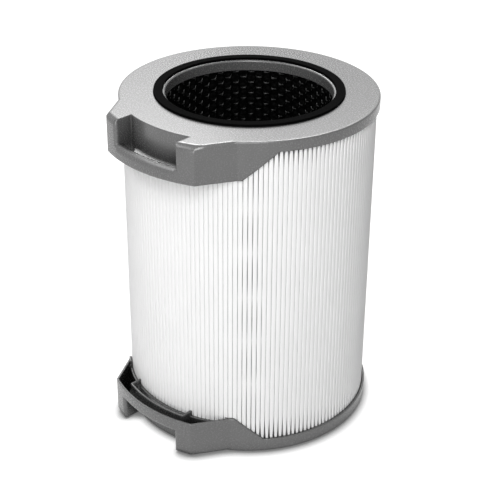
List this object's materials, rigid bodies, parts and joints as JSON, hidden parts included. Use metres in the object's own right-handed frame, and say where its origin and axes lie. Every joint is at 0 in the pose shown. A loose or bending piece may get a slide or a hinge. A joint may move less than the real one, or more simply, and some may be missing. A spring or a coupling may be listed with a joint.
{
  "type": "air purifier filter",
  "caption": "Round air purifier filter: a white pleated paper cylinder between grey end caps with finger grips, black gaskets and a dark carbon core behind a cage.",
  "frame": {"origin": "on the filter's axis, level with the outer face of the lower cap's plate, where the lower bore's mouth is", "axes": "+Z along the filter's axis from the lower cap to the upper one; the finger grips face -Y; +X completes a right-handed frame"},
  "size_m": [0.2, 0.2155, 0.2702],
  "materials": {
    "cap_plastic": "satin moulded grey",
    "foam": "fine closed-cell foam",
    "filter_paper": "matt, folded",
    "cage_plastic": "black moulded mesh",
    "carbon": "loose dark pellets",
    "fleece": "thin non-woven",
    "glue": "cast, slightly glossy"
  },
  "bodies": {
    "root": {"top_cap": "cap_plastic", "bottom_cap": "cap_plastic", "top_gasket": "foam", "bottom_gasket": "foam", "pleated_media": "filter_paper", "inner_cage": "cage_plastic", "carbon_bed": "carbon", "outer_sleeve": "fleece", "top_glue": "glue", "bottom_glue": "glue"}
  },
  "joints": []
}
